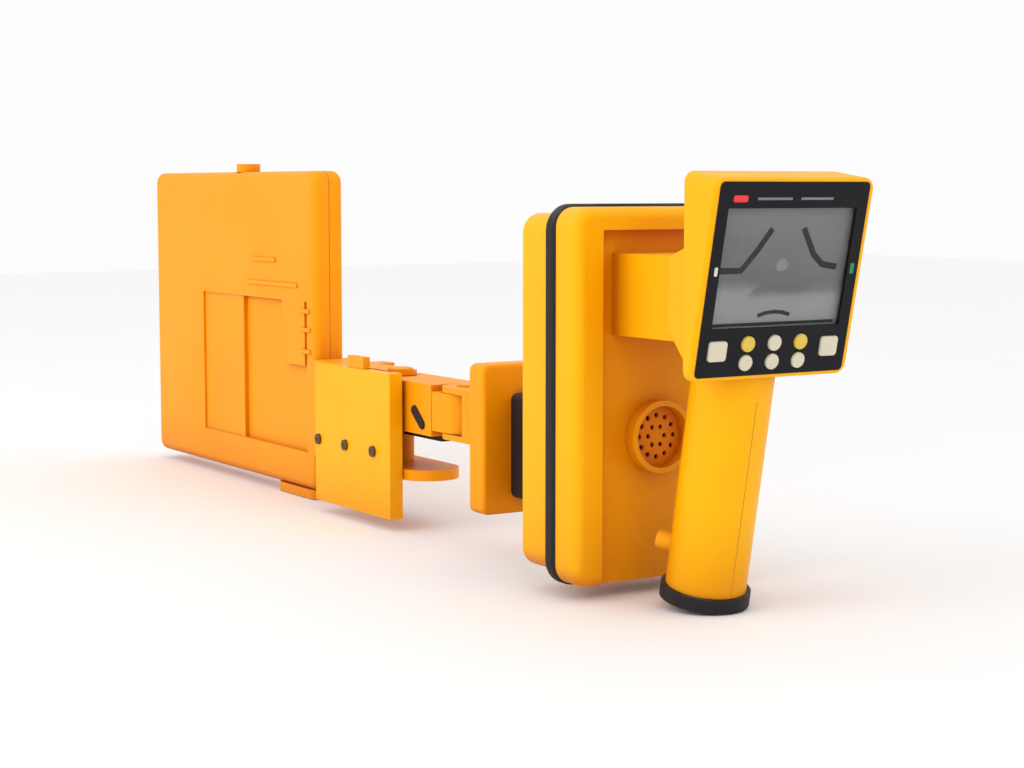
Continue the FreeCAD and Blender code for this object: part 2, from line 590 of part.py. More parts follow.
disc = pad(grille, circleSketch(grille, "GrilleDisc", "0", "wellRadius - wellWall"), "grilleThick")
for name, ringRadius, count in (("GrilleInner", "grilleInner", 6), ("GrilleOuter", "grilleOuter", 12)):
    doc.recompute()
    before = grille.Shape.Volume
    hole = grille.newObject("PartDesign::Pocket", name + "Hole")
    hole.Profile = circleSketch(grille, name + "Sketch", "0", "grilleHole", ringRadius)
    hole.setExpression("Length", bound("grilleThick"))
    hole.Reversed = True
    doc.recompute()
    if not grille.Shape.Volume < before:
        raise RuntimeError(name + " cuts nothing")
    pattern = grille.newObject("PartDesign::PolarPattern", name + "Pattern")
    pattern.Originals = [hole]
    pattern.Axis = (next(item for item in grille.Origin.OriginFeatures if item.Role == "X_Axis"), [""])
    pattern.Angle = 360
    pattern.Occurrences = count
    grille.Tip = pattern
place(grille, along(troughX), "0", "wellHeight")
node("speaker_grille", grille)
node("speaker", rod("Speaker", "wellRadius - wellWall - bossGap", "speakerDepth",
                    f"{troughX} - speakerDepth", "0", "wellHeight", "X"))
boardX = f"({sealStart} - 4)"
node("main_board", box("MainBoard", (boardX, f"{boardX} + boardThick"), ("-rearHalf + 17", "rearHalf - 17"),
                       ("rearBase + 12", f"{rearTop} - 12")))
loopHalf = "(sealHalf - sealWidth - loopInset)"
loopOut = box("LoopOut", (f"{sealStart} + 1", f"{sealStart} + 7"), (f"-{loopHalf}", loopHalf),
              ("standHeight + sealWidth + loopInset", f"{sealTop} - sealWidth - loopInset"))
loopIn = box("LoopIn", (sealStart, f"{sealStart} + 8"), (f"-{loopHalf} + coilBar", f"{loopHalf} - coilBar"),
             ("standHeight + sealWidth + loopInset + coilBar",
              f"{sealTop} - sealWidth - loopInset - coilBar"))
node("housing_loop_coil", cut("HousingLoop", loopOut, loopIn))
rodX = f"({wallX} + windingRadius + 0.5)"
rodY = "-upperRodLength / 2"
node("housing_ferrite_rod", rod("UpperRod", "rodRadius", "upperRodLength", rodX, rodY,
                                "upperRodHeight", "Y"))
node("housing_rod_coil", cut("UpperCoil", rod("UpperCoilOut", "windingRadius - 1", "upperRodLength / 2", rodX,
                                              "-upperRodLength / 4", "upperRodHeight", "Y"),
                             rod("UpperCoilIn", "rodRadius", "upperRodLength", rodX, rodY,
                                 "upperRodHeight", "Y")))

# ---------------------------------------------------------------- display head
tiltNormal = Vector(math.cos(math.radians(sizes["faceTilt"])), 0, -math.sin(math.radians(sizes["faceTilt"])))
headFront = prism("HeadFront", [(along("headBack"), "faceZ"), (along("faceX"), "faceZ"),
                                (along(headReach), faceTopZ),
                                (along("headBack"), f"{faceTopZ} + headTopRise")], "faceHalf")
headRounded = roundEdges(headFront, headFront.Tip, "HeadCorners", "faceCorner",
                         lambda edge: (edge.Curve.TypeId == "Part::GeomLine"
                                       and abs(edge.Curve.Direction.x) > 0.9))
doc.recompute()
faceReach = max(vertex.Point.dot(tiltNormal) for vertex in headRounded.Shape.Vertexes)
roundEdges(headFront, headRounded, "HeadRim", "faceCorner / 3",
           lambda edge: all(abs(p.Point.dot(tiltNormal) - faceReach) < 1e-3 for p in edge.Vertexes))
bezelY = ("-faceHalf + bezelMargin", "faceHalf - bezelMargin")
bezelUp = ("bezelRise", "faceLength - bezelRise")
bezelSeat = faceSlab("BezelSeat", "-bezelThick", "bezelThick + 2", bezelY, bezelUp,
                     "faceCorner - bezelMargin")
headRoom = faceBox("HeadRoom", ("-faceHalf", "0"), ("-faceHalf + headWall", "faceHalf - headWall"),
                   ("keyRowLow - keyRadius - keyGap", "faceLength - headWall"))
node("head_front", cut("HeadFrame", headFront, bezelSeat, headRoom))


def rearProfile(inset):
    """The head's rear shell seen from the side, inset for its inside."""
    reach = "1" if inset != "0" else "0"
    return [(along(f"headRearStart + {inset}"), f"headRearFold + {inset} / 2"),
            (along(f"headRearStart + headRearChin + {inset} / 2"), f"headBase + {inset}"),
            (along(f"headBack + {reach}"), f"headBase + {inset}"),
            (along(f"headBack + {reach}"), f"{headTop} - {inset}"),
            (along(f"headBack - headShoulder + {inset}"), f"{headTop} - {inset}"),
            (along(f"headBack - headShoulder + {inset}"), f"blockTop + headShoulder - {inset}"),
            (along(f"headRearStart + {inset}"), f"blockTop - {inset}")]


rearHead = prism("RearHead", rearProfile("0"), "headRearHalf")
doc.recompute()
backReach = max(vertex.Point.x for vertex in rearHead.Shape.Vertexes)
roundEdges(rearHead, rearHead.Tip, "RearHeadEdges", "headShell",
           lambda edge: (all(abs(p.Point.y) > 1 for p in edge.Vertexes)
                         and abs(edge.Vertexes[0].Point.y - edge.Vertexes[1].Point.y) < 1e-6
                         and min(p.Point.x for p in edge.Vertexes) < backReach - 1e-6))
rearHeadRoom = prism("RearHeadRoom", rearProfile("headShell"), "headRearHalf - headShell")
node("head_rear", cut("HeadRear", rearHead, rearHeadRoom, neckDuct))

windowUp = ("windowBase", "windowBase + windowHeight")
border = "displayBorder"
bezelPlate = faceSlab("BezelPlate", "-bezelThick", "bezelThick + bezelProud", bezelY, bezelUp,
                      "faceCorner - bezelMargin")
window = faceBox("Window", ("-bezelThick - 1", "bezelProud + 1"), ("-windowHalf", "windowHalf"), windowUp)
rebate = faceBox("Rebate", ("-bezelThick - 1", "-bezelThick + lensThick"),
                 (f"-windowHalf - {border}", f"windowHalf + {border}"),
                 (f"windowBase - {border}", f"windowBase + windowHeight + {border}"))
roundKeys = [(f"({column}) * keyPitchY", row) for row in ("keyRowHigh", "keyRowLow") for column in (-1, 0, 1)]
keyHoles = [faceRod(f"KeyHole{i}", "keyRadius + keyGap", "-bezelThick - 1",
                    "bezelThick + bezelProud + 2", *at)
            for i, at in enumerate(roundKeys)]
sideKeys = {"left": "-sideKeyAt", "right": "sideKeyAt"}


def sideKeySlab(name, y, grow, out, depth, rim=None):
    return faceSlab(name, out, depth, (f"{y} - sideKeyHalf - {grow}", f"{y} + sideKeyHalf + {grow}"),
                    (f"sideKeyRow - sideKeyTall - {grow}", f"sideKeyRow + sideKeyTall + {grow}"),
                    f"keyCorner + {grow}", rim)


keyHoles += [sideKeySlab(f"SideKeyHole{side}", y, "keyGap", "-bezelThick - 1", "bezelThick + bezelProud + 2")
             for side, y in sideKeys.items()]
node("display_bezel", cut("Bezel", bezelPlate, window, rebate, *keyHoles))
node("display_lens", faceBox("Lens", ("-bezelThick", "-bezelThick + lensThick"),
                             (f"-windowHalf - {border} + bossGap", f"windowHalf + {border} - bossGap"),
                             (f"windowBase - {border} + bossGap",
                              f"windowBase + windowHeight + {border} - bossGap")))
node("display_module", faceBox("Display", ("-bezelThick - displayThick", "-bezelThick"),
                               (f"-windowHalf - {border}", f"windowHalf + {border}"),
                               (f"windowBase - {border}", f"windowBase + windowHeight + {border}")))
matBack = "(-keySkirt - keyTravel - keyGap - matThick)"
node("keypad_mat", faceBox("KeypadMat", (matBack, f"{matBack} + matThick"),
                           ("-headRearHalf + headShell + 1", "headRearHalf - headShell - 1"),
                           ("keyRowLow - keyRadius + 1.5", f"windowBase - {border} - 1")))
boardBack = "(-bezelThick - displayThick - boardThick - 1)"
node("head_board", faceBox("HeadBoard", (boardBack, f"{boardBack} + boardThick"),
                           ("-headRearHalf + headShell + 1", "headRearHalf - headShell - 1"),
                           ("keyRowLow", "faceLength - headWall - 1")))

for i, (y, up) in enumerate(roundKeys, start=1):
    key = doc.addObject("PartDesign::Body", f"RoundKey{i}")
    stem = pad(key, circleSketch(key, f"RoundKey{i}Outline", "-keySkirt", "keyRadius", y, up),
               "keySkirt + keyProud")
    roundEdges(key, stem, f"RoundKey{i}Rim", "keyRound",
               lambda edge: edge.Curve.TypeId == "Part::GeomCircle" and edge.CenterOfMass.x > 0)
    node(f"key_round_{i}", turnAboutY(place(key, along("faceX"), "0", "faceZ"), "faceTilt"))
for side, y in sideKeys.items():
    node(f"key_side_{side}", sideKeySlab(f"SideKey{side}", y, "0", "-keySkirt", "keySkirt + keyProud",
                                         "keyRound"))

# ---------------------------------------------------------------- grip and batteries
gripBore = "(gripRadius - gripWall)"
studSide = "sin(studTurn * 1 deg)"
studBack = "cos(studTurn * 1 deg)"


def gripStud(name, radius):
    """A stud standing out of the grip, turned from straight back towards the near side."""
    x, z = gripPoint("studLift", f"-{gripBore} * {studBack}")
    item = rod(name, radius, "gripWall + studProud", x, f"-{gripBore} * {studSide}", z)
    lean = math.radians(sizes["gripLean"])
    turn = math.radians(sizes["studTurn"])
    item.Placement.Rotation = FreeCAD.Rotation(
        Vector(0, 0, 1), Vector(-math.cos(turn) * math.cos(lean), -math.sin(turn),
                                math.cos(turn) * math.sin(lean)))
    return item


gripTube = cut("GripTube", gripRod("GripOut", "gripRadius", "endCapThick", "gripLength - endCapThick"),
               gripRod("GripIn", gripBore, "0", "gripLength + 1"))
stud = gripStud("StrapStud", "studRadius")
node("grip_shell", cut("GripShell", gripTube, neckBlock, rearHead, headFront, stud))
node("strap_stud", cut("StudTrimmed", stud, gripRod("StudTrim", gripBore, "0", "gripLength")))
node("grip_end_cap", fuse("EndCap", gripRod("EndCapDisc", "endCapRadius", "0", "endCapThick"),
                          gripRod("EndCapPlug", f"{gripBore} - plugGap", "endCapThick", "endCapPlug")))
contactLow = "(endCapThick + endCapPlug + plugGap)"
cellLow = f"({contactLow} + contactThick)"
cageRadius = f"({gripBore} - plugGap)"
cageLength = "(2 * (cellLength + contactThick))"
node("battery_cage", cut("Cage", gripRod("CageOut", cageRadius, contactLow, f"{cageLength} + contactThick"),
                         gripRod("CageIn", f"{cageRadius} - cageWall", contactLow,
                                 f"{cageLength} + 2 * contactThick")))
cellReach = "((cellRadius + cellGap) * 2 / 1.732)"
cells = []
for layer in range(2):
    for i in range(3):
        angle = math.radians(120 * i)
        start = f"{cellLow} + {layer} * (cellLength + contactThick)"
        cells.append(gripRod(f"Cell{layer}{i}", "cellRadius", start, "cellLength",
                             f"{cellReach} * {math.cos(angle):.4f}",
                             f"{cellReach} * {math.sin(angle):.4f}"))
battery = doc.addObject("Part::Compound", "Cells")
battery.Links = cells
node("battery_cells", battery)
node("battery_contact", gripRod("Contact", f"{cageRadius} - cageWall - cellGap", contactLow, "contactThick"))

# ---------------------------------------------------------------- check and write
doc.recompute()
for item in doc.Objects:
    if "Invalid" in item.State or "Error" in item.State:
        raise RuntimeError(f"{item.Name} failed: {item.State}")
for label, item in nodes.items():
    if item.Shape.isNull() or not item.Shape.isValid() or not item.Shape.Solids:
        raise RuntimeError(f"{label} has no valid shape")
for label, item in nodes.items():
    item.Shape.exportStep(f"parts/{label}.step")
print(len(nodes), "sub-parts written")
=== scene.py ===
import bmesh
import bpy
import json
import math
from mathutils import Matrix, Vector


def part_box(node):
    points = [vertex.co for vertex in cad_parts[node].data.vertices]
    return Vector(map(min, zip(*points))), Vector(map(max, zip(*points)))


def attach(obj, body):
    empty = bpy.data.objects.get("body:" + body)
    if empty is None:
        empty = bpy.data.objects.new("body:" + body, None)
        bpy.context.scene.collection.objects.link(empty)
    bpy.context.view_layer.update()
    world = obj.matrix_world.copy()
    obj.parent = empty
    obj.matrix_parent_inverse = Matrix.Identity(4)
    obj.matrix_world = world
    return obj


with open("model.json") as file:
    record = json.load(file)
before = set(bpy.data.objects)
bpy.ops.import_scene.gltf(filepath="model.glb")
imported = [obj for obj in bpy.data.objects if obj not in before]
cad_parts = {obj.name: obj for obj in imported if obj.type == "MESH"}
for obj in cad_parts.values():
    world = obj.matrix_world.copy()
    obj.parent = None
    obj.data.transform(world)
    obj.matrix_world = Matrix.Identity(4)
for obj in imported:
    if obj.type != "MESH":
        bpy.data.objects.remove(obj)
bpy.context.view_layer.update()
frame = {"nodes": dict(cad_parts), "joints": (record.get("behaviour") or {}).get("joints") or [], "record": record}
nodes = frame["nodes"]
mm = 0.001
print("frame loaded:", len(nodes), "parts")


def jointNamed(name):
    return next(joint for joint in frame["joints"] if joint["name"] == name)


def newGroup(name, inputs, outputs):
    group = bpy.data.node_groups.new(name, "ShaderNodeTree")
    for label, kind, value in inputs:
        socket = group.interface.new_socket(name=label, in_out="INPUT", socket_type=kind)
        if value is not None:
            socket.default_value = value
    for label, kind in outputs:
        group.interface.new_socket(name=label, in_out="OUTPUT", socket_type=kind)
    start = group.nodes.new("NodeGroupInput")
    end = group.nodes.new("NodeGroupOutput")
    return group, start, end


def addNode(tree, kind, settings=None, **values):
    node = tree.nodes.new(kind)
    for key, value in (settings or {}).items():
        setattr(node, key, value)
    for key, value in values.items():
        node.inputs[key.replace("_", " ")].default_value = value
    return node


def mathNode(tree, operation, first, second=None, third=None, clamp=False):
    node = tree.nodes.new("ShaderNodeMath")
    node.operation = operation
    node.use_clamp = clamp
    for i, value in enumerate((first, second, third)):
        if value is None:
            continue
        if isinstance(value, (int, float)):
            node.inputs[i].default_value = value
        else:
            tree.links.new(value, node.inputs[i])
    return node.outputs[0]


def spread(tree, value, low, high, fromLow=0.0, fromHigh=1.0):
    node = tree.nodes.new("ShaderNodeMapRange")
    node.inputs["From Min"].default_value = fromLow
    node.inputs["From Max"].default_value = fromHigh
    node.inputs["To Min"].default_value = low
    node.inputs["To Max"].default_value = high
    tree.links.new(value, node.inputs["Value"])
    return node.outputs[0]


def mixColour(tree, factor, first, second):
    node = tree.nodes.new("ShaderNodeMix")
    node.data_type = "RGBA"
    for socket, value in zip((node.inputs[0], node.inputs[6], node.inputs[7]), (factor, first, second)):
        if isinstance(value, (tuple, list)):
            socket.default_value = (*value[:3], 1.0)
        elif isinstance(value, (int, float)):
            socket.default_value = value
        else:
            tree.links.new(value, socket)
    return node.outputs[2]


def makeMouldGrain():
    # spark-eroded mould texture: fine pits over a slow unevenness
    group, start, end = newGroup(
        "mouldGrain",
        [("Position", "NodeSocketVector", None), ("Pit Scale", "NodeSocketFloat", 1400.0),
         ("Flow Scale", "NodeSocketFloat", 14.0)],
        [("Height", "NodeSocketFloat"), ("Flow", "NodeSocketFloat")])
    pits = addNode(group, "ShaderNodeTexNoise", Detail=3.0, Roughness=0.6)
    cells = addNode(group, "ShaderNodeTexVoronoi", {"feature": "SMOOTH_F1"})
    flow = addNode(group, "ShaderNodeTexNoise", Detail=2.0)
    for node, scale in ((pits, "Pit Scale"), (cells, "Pit Scale"), (flow, "Flow Scale")):
        group.links.new(start.outputs["Position"], node.inputs["Vector"])
        group.links.new(start.outputs[scale], node.inputs["Scale"])
    height = mathNode(group, "MULTIPLY_ADD", cells.outputs["Distance"], 0.5, pits.outputs[0])
    group.links.new(height, end.inputs["Height"])
    group.links.new(flow.outputs[0], end.inputs["Flow"])
    return group


def makeEdgeWear():
    # where a rounded normal leaves the true one, an edge has been rubbed
    group, start, end = newGroup(
        "edgeWear",
        [("Position", "NodeSocketVector", None), ("Width", "NodeSocketFloat", 0.0012),
         ("Patch Scale", "NodeSocketFloat", 60.0)],
        [("Mask", "NodeSocketFloat")])
    bevel = addNode(group, "ShaderNodeBevel", {"samples": 6})
    group.links.new(start.outputs["Width"], bevel.inputs["Radius"])
    geometry = group.nodes.new("ShaderNodeNewGeometry")
    dot = addNode(group, "ShaderNodeVectorMath", {"operation": "DOT_PRODUCT"})
    group.links.new(bevel.outputs[0], dot.inputs[0])
    group.links.new(geometry.outputs["Normal"], dot.inputs[1])
    edge = spread(group, dot.outputs["Value"], 1.0, 0.0, 0.86, 0.995)
    patch = addNode(group, "ShaderNodeTexNoise", Detail=4.0, Roughness=0.7)
    group.links.new(start.outputs["Position"], patch.inputs["Vector"])
    group.links.new(start.outputs["Patch Scale"], patch.inputs["Scale"])
    broken = spread(group, patch.outputs[0], 0.0, 1.0, 0.42, 0.62)
    group.links.new(mathNode(group, "MULTIPLY", edge, broken, clamp=True), end.inputs["Mask"])
    return group


def makeDust():
    # pale film on what faces up, broken by a soft noise
    group, start, end = newGroup(
        "settledDust",
        [("Position", "NodeSocketVector", None), ("Scale", "NodeSocketFloat", 40.0)],
        [("Mask", "NodeSocketFloat")])
    geometry = group.nodes.new("ShaderNodeNewGeometry")
    parts = group.nodes.new("ShaderNodeSeparateXYZ")
    group.links.new(geometry.outputs["Normal"], parts.inputs[0])
    up = spread(group, parts.outputs["Z"], 0.0, 1.0, 0.2, 1.0)
    noise = addNode(group, "ShaderNodeTexNoise", Detail=5.0, Roughness=0.65)
    group.links.new(start.outputs["Position"], noise.inputs["Vector"])
    group.links.new(start.outputs["Scale"], noise.inputs["Scale"])
    patch = spread(group, noise.outputs[0], 0.0, 1.0, 0.4, 0.75)
    group.links.new(mathNode(group, "MULTIPLY", up, patch, clamp=True), end.inputs["Mask"])
    return group


mouldGrain = makeMouldGrain()
edgeWear = makeEdgeWear()
settledDust = makeDust()


def startMaterial(name):
    material = bpy.data.materials.new(name)
    material.use_nodes = True
    tree = material.node_tree
    shader = tree.nodes["Principled BSDF"]
    where = tree.nodes.new("ShaderNodeTexCoord").outputs["Object"]
    return material, tree, shader, where


def useGroup(tree, group, where, **values):
    node = tree.nodes.new("ShaderNodeGroup")
    node.node_tree = group
    tree.links.new(where, node.inputs["Position"])
    for key, value in values.items():
        node.inputs[key.replace("_", " ")].default_value = value
    return node


def bump(tree, shader, height, strength, distance):
    node = addNode(tree, "ShaderNodeBump", Strength=strength, Distance=distance)
    tree.links.new(height, node.inputs["Height"])
    tree.links.new(node.outputs[0], shader.inputs["Normal"])
    return node


def mouldedPlastic(name, look):
    # colour drifts with the melt's flow, edges rub paler and dust settles on top
    material, tree, shader, where = startMaterial(name)
    grain = useGroup(tree, mouldGrain, where, Pit_Scale=look["pitScale"], Flow_Scale=look["flowScale"])
    wear = useGroup(tree, edgeWear, where, Width=look["wearWidth"])
    dust = useGroup(tree, settledDust, where)
    flow = spread(tree, grain.outputs["Flow"], 0.0, 1.0, 0.3, 0.7)
    body = mixColour(tree, flow, look["colour"], look["drift"])
    if "paintedHollowShade" in look:
        # painted shade: ambient occlusion darkens the colour toward a deep orange in hollows and crevices,
        # standing in for shade and light bounced between coloured walls
        hollow = addNode(tree, "ShaderNodeAmbientOcclusion", {"samples": 6}, Distance=0.07)
        shade = spread(tree, hollow.outputs["AO"], 0.9, 0.0, 0.25, 0.85)
        body = mixColour(tree, shade, body, look["paintedHollowShade"])
    rub = mathNode(tree, "MULTIPLY", wear.outputs["Mask"], look["wear"])
    film = mathNode(tree, "MULTIPLY", dust.outputs["Mask"], look["dust"])
    worn = mixColour(tree, rub, body, look["rubbed"])
    dusty = mixColour(tree, film, worn, (0.62, 0.58, 0.5))
    tree.links.new(dusty, shader.inputs["Base Color"])
    rough = spread(tree, grain.outputs["Flow"], look["roughness"] - 0.05, look["roughness"] + 0.06, 0.3, 0.7)
    tree.links.new(mathNode(tree, "MULTIPLY_ADD", wear.outputs["Mask"], -0.12, rough, clamp=True),
                   shader.inputs["Roughness"])
    shader.inputs["IOR"].default_value = 1.5
    shader.inputs["Subsurface Weight"].default_value = look.get("glow", 0.0)
    shader.inputs["Subsurface Radius"].default_value = (0.004, 0.002, 0.001)
    shader.inputs["Specular IOR Level"].default_value = look.get("gloss", 0.4)
    relief = bump(tree, shader, grain.outputs["Height"], look["relief"], 0.00012)
    soft = addNode(tree, "ShaderNodeBevel", {"samples": 4}, Radius=0.0006)
    tree.links.new(soft.outputs[0], relief.inputs["Normal"])
    return material


def metal(name, look):
    # drawn steel or bronze with fine turning lines
    material, tree, shader, where = startMaterial(name)
    lines = addNode(tree, "ShaderNodeTexNoise", Scale=220.0, Detail=4.0)
    stretch = addNode(tree, "ShaderNodeMapping")
    stretch.inputs["Scale"].default_value = (1.0, 1.0, 14.0)
    tree.links.new(where, stretch.inputs["Vector"])
    tree.links.new(stretch.outputs[0], lines.inputs["Vector"])
    wear = useGroup(tree, edgeWear, where, Width=0.0005)
    streak = spread(tree, lines.outputs[0], 0.0, 1.0, 0.35, 0.65)
    body = mixColour(tree, streak, look["colour"], look["drift"])
    tree.links.new(mixColour(tree, wear.outputs["Mask"], body, look["rubbed"]), shader.inputs["Base Color"])
    rough = spread(tree, lines.outputs[0], look["roughness"] - 0.08, look["roughness"] + 0.1, 0.3, 0.7)
    tree.links.new(rough, shader.inputs["Roughness"])
    shader.inputs["Metallic"].default_value = 1.0
    bump(tree, shader, lines.outputs[0], 0.15, 0.0001)
    return material


plasticLooks = {
    "yellow_shell": dict(colour=(0.98, 0.48, 0.0), drift=(0.98, 0.44, 0.0), rubbed=(1.0, 0.52, 0.05),
                         paintedHollowShade=(0.62, 0.17, 0.0), gloss=0.16,
                         roughness=0.42, pitScale=1500.0, flowScale=11.0, relief=0.25, wear=0.35,
                         wearWidth=0.0014, dust=0.04, glow=0.05),
    "orange_shell": dict(colour=(0.98, 0.37, 0.0), drift=(0.97, 0.34, 0.0), rubbed=(1.0, 0.44, 0.04),
                         paintedHollowShade=(0.58, 0.14, 0.0), gloss=0.16,
                         roughness=0.46, pitScale=1300.0, flowScale=9.0, relief=0.3, wear=0.35,
                         wearWidth=0.0014, dust=0.04, glow=0.05),
    "black_rubber": dict(colour=(0.012, 0.01, 0.012), drift=(0.018, 0.015, 0.018),
                         rubbed=(0.06, 0.055, 0.055), roughness=0.6, gloss=0.25, pitScale=1000.0,
                         flowScale=18.0, relief=0.35, wear=0.6, wearWidth=0.001, dust=0.16),
    "black_bezel": dict(colour=(0.006, 0.006, 0.008), drift=(0.009, 0.009, 0.011), rubbed=(0.03, 0.03, 0.032),
                        roughness=0.3, gloss=0.15, pitScale=2200.0, flowScale=20.0, relief=0.12, wear=0.4,
                        wearWidth=0.0006, dust=0.05),
    "key_cream": dict(colour=(0.66, 0.6, 0.44), drift=(0.7, 0.64, 0.5), rubbed=(0.93, 0.88, 0.74),
                      roughness=0.5, pitScale=1800.0, flowScale=60.0, relief=0.2, wear=0.4,
                      wearWidth=0.0005, dust=0.04, glow=0.1),
    "board_green": dict(colour=(0.02, 0.14, 0.05), drift=(0.03, 0.18, 0.06), rubbed=(0.3, 0.28, 0.1),
                        roughness=0.4, pitScale=900.0, flowScale=80.0, relief=0.2, wear=0.3,
                        wearWidth=0.0005, dust=0.05),
    "copper_winding": dict(colour=(0.36, 0.12, 0.04), drift=(0.46, 0.18, 0.06), rubbed=(0.7, 0.35, 0.16),
                           roughness=0.35, pitScale=1600.0, flowScale=120.0, relief=0.5, wear=0.3,
                           wearWidth=0.0008, dust=0.02),
    "ferrite": dict(colour=(0.03, 0.03, 0.034), drift=(0.05, 0.05, 0.055), rubbed=(0.16, 0.16, 0.17),
                    roughness=0.55, pitScale=1200.0, flowScale=60.0, relief=0.4, wear=0.5,
                    wearWidth=0.0006, dust=0.02),
    "cell_wrap": dict(colour=(0.05, 0.06, 0.08), drift=(0.07, 0.08, 0.1), rubbed=(0.3, 0.3, 0.32),
                      roughness=0.3, pitScale=1500.0, flowScale=40.0, relief=0.08, wear=0.3,
                      wearWidth=0.0006, dust=0.0),
    "display_grey": dict(colour=(0.27, 0.275, 0.275), drift=(0.3, 0.305, 0.305), rubbed=(0.33, 0.34, 0.34),
                         roughness=0.3, pitScale=2600.0, flowScale=25.0, relief=0.05, wear=0.0,
                         wearWidth=0.0004, dust=0.0),
}
metalLooks = {
    "steel": dict(colour=(0.56, 0.56, 0.57), drift=(0.48, 0.48, 0.5), rubbed=(0.78, 0.78, 0.78),
                  roughness=0.34),
    "bronze": dict(colour=(0.5, 0.33, 0.16), drift=(0.42, 0.27, 0.12), rubbed=(0.72, 0.52, 0.28),
                   roughness=0.4),
}


def clearWindow(name):
    # scratch-resistant window: mostly seen through, with faint hairlines in its gloss
    material, tree, shader, where = startMaterial(name)
    hairs = addNode(tree, "ShaderNodeTexNoise", Scale=90.0, Detail=6.0)
    tree.links.new(where, hairs.inputs["Vector"])
    tree.links.new(spread(tree, hairs.outputs[0], 0.04, 0.1, 0.35, 0.7), shader.inputs["Roughness"])
    tint = mixColour(tree, hairs.outputs[0], (0.1, 0.105, 0.11), (0.14, 0.145, 0.15))
    tree.links.new(tint, shader.inputs["Base Color"])
    shader.inputs["Alpha"].default_value = 0.06
    shader.inputs["IOR"].default_value = 1.5
    return material


materials = {name: mouldedPlastic(name, look) for name, look in plasticLooks.items()}
materials.update({name: metal(name, look) for name, look in metalLooks.items()})
materials["lens_clear"] = clearWindow("lens_clear")


def dress(obj, material):
    obj.data.materials.clear()
    obj.data.materials.append(material)


for entry in frame["record"]["subparts"]:
    dress(nodes[entry["node"]], materials[entry["material_slot"]])
amberKey = dict(plasticLooks["key_cream"], colour=(0.72, 0.5, 0.06), drift=(0.76, 0.55, 0.1))
materials["amberKey"] = mouldedPlastic("amberKey", amberKey)
for keyName in ("key_round_1", "key_round_3"):
    dress(nodes[keyName], materials["amberKey"])
darkLook = dict(colour=(0.16, 0.1, 0.05), drift=(0.12, 0.08, 0.04), rubbed=(0.3, 0.24, 0.18), roughness=0.42)
darkSteel = metal("darkSteel", darkLook)
dress(nodes["cheek_plate_screws"], darkSteel)
print("materials laid on the parts")


# the display face looks along outward and stands up along upFace
outward = -Vector(jointNamed("key_round_1_press")["axis"]).normalized()
upFace = outward.cross(Vector((0, 1, 0))).normalized()
lensLow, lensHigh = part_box("display_lens")
lensMiddle = (lensLow + lensHigh) / 2
paddleLow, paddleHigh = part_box("paddle_near_shell")
screenBehind = 0.7  # the screen's face behind the middle of the window


def finishPiece(name, mesh, material, body):
    bmesh.ops.recalc_face_normals(mesh, faces=mesh.faces)
    data = bpy.data.meshes.new(name)
    mesh.to_mesh(data)
    mesh.free()
    piece = bpy.data.objects.new(name, data)
    bpy.context.scene.collection.objects.link(piece)
    dress(piece, material)
    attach(piece, body)


def facePlace(u, v, w):
    # across the display, up it and out of it, from the middle of the window
    return lensMiddle + Vector((0, u, 0)) * mm + upFace * v * mm + outward * (w - screenBehind) * mm


def sidePlace(nodeName, toward):
    # along the tool and up from the floor, on the near or the far side of a part
    low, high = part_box(nodeName)
    flat = low.y if toward < 0 else high.y

    def place(u, v, w):
        return Vector((paddleLow.x + u * mm, flat + toward * w * mm, v * mm))
    return place


def roundOutline(u, v, length, width, radius, angle=0.0, steps=5):
    turn = math.radians(angle)
    points = []
    for i, (a, b) in enumerate(((1, 1), (-1, 1), (-1, -1), (1, -1))):
        for k in range(steps + 1):
            lean = math.radians(90 * (i + k / steps))
            x = a * (length / 2 - radius) + radius * math.cos(lean)
            y = b * (width / 2 - radius) + radius * math.sin(lean)
            points.append((u + x * math.cos(turn) - y * math.sin(turn),
                           v + x * math.sin(turn) + y * math.cos(turn)))
    return points


def raisePrism(mesh, place, outline, low, high, edge=0.0):
    base = mesh.faces.new([mesh.verts.new(place(u, v, low)) for u, v in outline])
    made = bmesh.ops.extrude_face_region(mesh, geom=[base])["geom"]
    moved = [item for item in made if isinstance(item, bmesh.types.BMVert)]
    bmesh.ops.translate(mesh, verts=moved, vec=place(0, 0, high) - place(0, 0, low))
    if edge:
        top = [item for item in made if isinstance(item, bmesh.types.BMEdge)]
        bmesh.ops.bevel(mesh, geom=top, offset=edge * mm, offset_type="OFFSET", segments=3, profile=0.5,
                        affect="EDGES", material=-1)


def ribbon(mesh, place, points, width, low, high):
    # a flat line of even width through the points, mitred at its bends
    sides = []
    for i, point in enumerate(points):
        before = Vector(points[max(i - 1, 0)])
        after = Vector(points[min(i + 1, len(points) - 1)])
        along = (after - before).normalized()
        across = Vector((-along.y, along.x)) * width / 2
        sides.append((Vector(point) + across, Vector(point) - across))
    outline = [side[0] for side in sides] + [side[1] for side in reversed(sides)]
    raisePrism(mesh, place, outline, low, high)


def printInk(name, colour, roughness=0.5):
    # screen-printed ink: slightly uneven cover with a soft tooth
    material, tree, shader, where = startMaterial(name)
    cover = addNode(tree, "ShaderNodeTexNoise", Scale=700.0, Detail=3.0)
    tree.links.new(where, cover.inputs["Vector"])
    paler = tuple(min(1.0, value * 1.25 + 0.004) for value in colour)
    tree.links.new(mixColour(tree, spread(tree, cover.outputs[0], 0.0, 1.0, 0.35, 0.65), colour, paler),
                   shader.inputs["Base Color"])
    tree.links.new(spread(tree, cover.outputs[0], roughness - 0.08, roughness + 0.08, 0.3, 0.7),
                   shader.inputs["Roughness"])
    bump(tree, shader, cover.outputs[0], 0.15, 0.00003)
    return material


